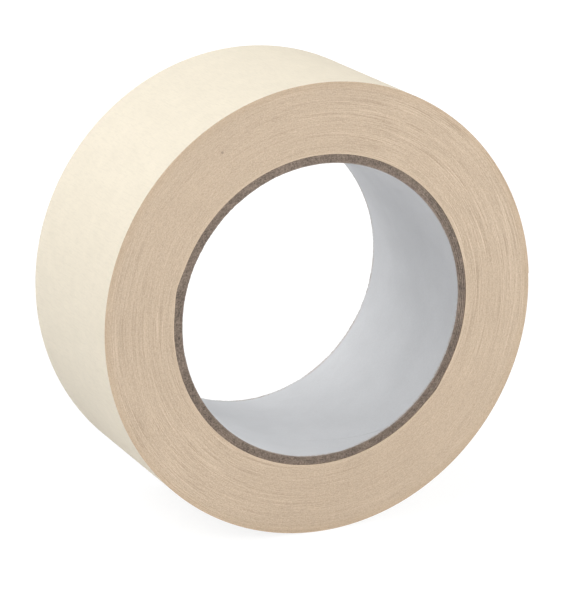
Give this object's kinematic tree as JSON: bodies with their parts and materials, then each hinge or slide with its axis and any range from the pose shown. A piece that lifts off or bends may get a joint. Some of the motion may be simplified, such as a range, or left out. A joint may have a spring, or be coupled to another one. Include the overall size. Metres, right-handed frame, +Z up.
{
  "type": "masking tape roll",
  "caption": "Roll of cream crepe paper masking tape on a spiral-wound paperboard core, with a free end that peels back from the outer turn.",
  "frame": {"origin": "centre of the core's bore, halfway across the tape's width", "axes": "+Y along the bore's axis, from the front side face to the back one; +Z up, with the roll standing on its rim"},
  "size_m": [0.1172, 0.05, 0.1173],
  "materials": {
    "liner_paper": "smooth pale grey core paper, matt",
    "core_board": "grey-brown paperboard (chipboard) with fibrous cut edges",
    "crepe_paper": "cream crepe paper, finely wrinkled across the tape, matt",
    "adhesive": "natural rubber adhesive, thin, tacky and slightly shiny"
  },
  "bodies": {
    "roll": {"core_liner": "liner_paper", "core_ply_1": "core_board", "core_ply_2": "core_board", "core_ply_3": "core_board", "core_ply_4": "core_board", "wound_tape": "crepe_paper", "outer_turn_adhesive": "adhesive", "outer_turn_paper": "crepe_paper"},
    "tape_end_1": {"tape_end_adhesive_1": "adhesive", "tape_end_paper_1": "crepe_paper"},
    "tape_end_2": {"tape_end_adhesive_2": "adhesive", "tape_end_paper_2": "crepe_paper"},
    "tape_end_3": {"tape_end_adhesive_3": "adhesive", "tape_end_paper_3": "crepe_paper"},
    "tape_end_4": {"tape_end_adhesive_4": "adhesive", "tape_end_paper_4": "crepe_paper"}
  },
  "joints": [
    {"name": "peel_1", "type": "hinge", "parent": "roll", "child": "tape_end_1", "pos_m": [0.03773, 0, 0.04497], "axis": [0, -1, 0], "range_deg": [0, 40]},
    {"name": "peel_2", "type": "hinge", "parent": "tape_end_1", "child": "tape_end_2", "pos_m": [0.04607, 0, 0.03638], "axis": [0, -1, 0], "range_deg": [0, 40]},
    {"name": "peel_3", "type": "hinge", "parent": "tape_end_2", "child": "tape_end_3", "pos_m": [0.05249, 0, 0.02627], "axis": [0, -1, 0], "range_deg": [0, 40]},
    {"name": "peel_4", "type": "hinge", "parent": "tape_end_3", "child": "tape_end_4", "pos_m": [0.05674, 0, 0.01508], "axis": [0, -1, 0], "range_deg": [0, 40]}
  ],
  "couplings": [
    {"joint": "peel_2", "follows": "peel_1", "ratio": 1},
    {"joint": "peel_3", "follows": "peel_1", "ratio": 1},
    {"joint": "peel_4", "follows": "peel_1", "ratio": 1}
  ]
}
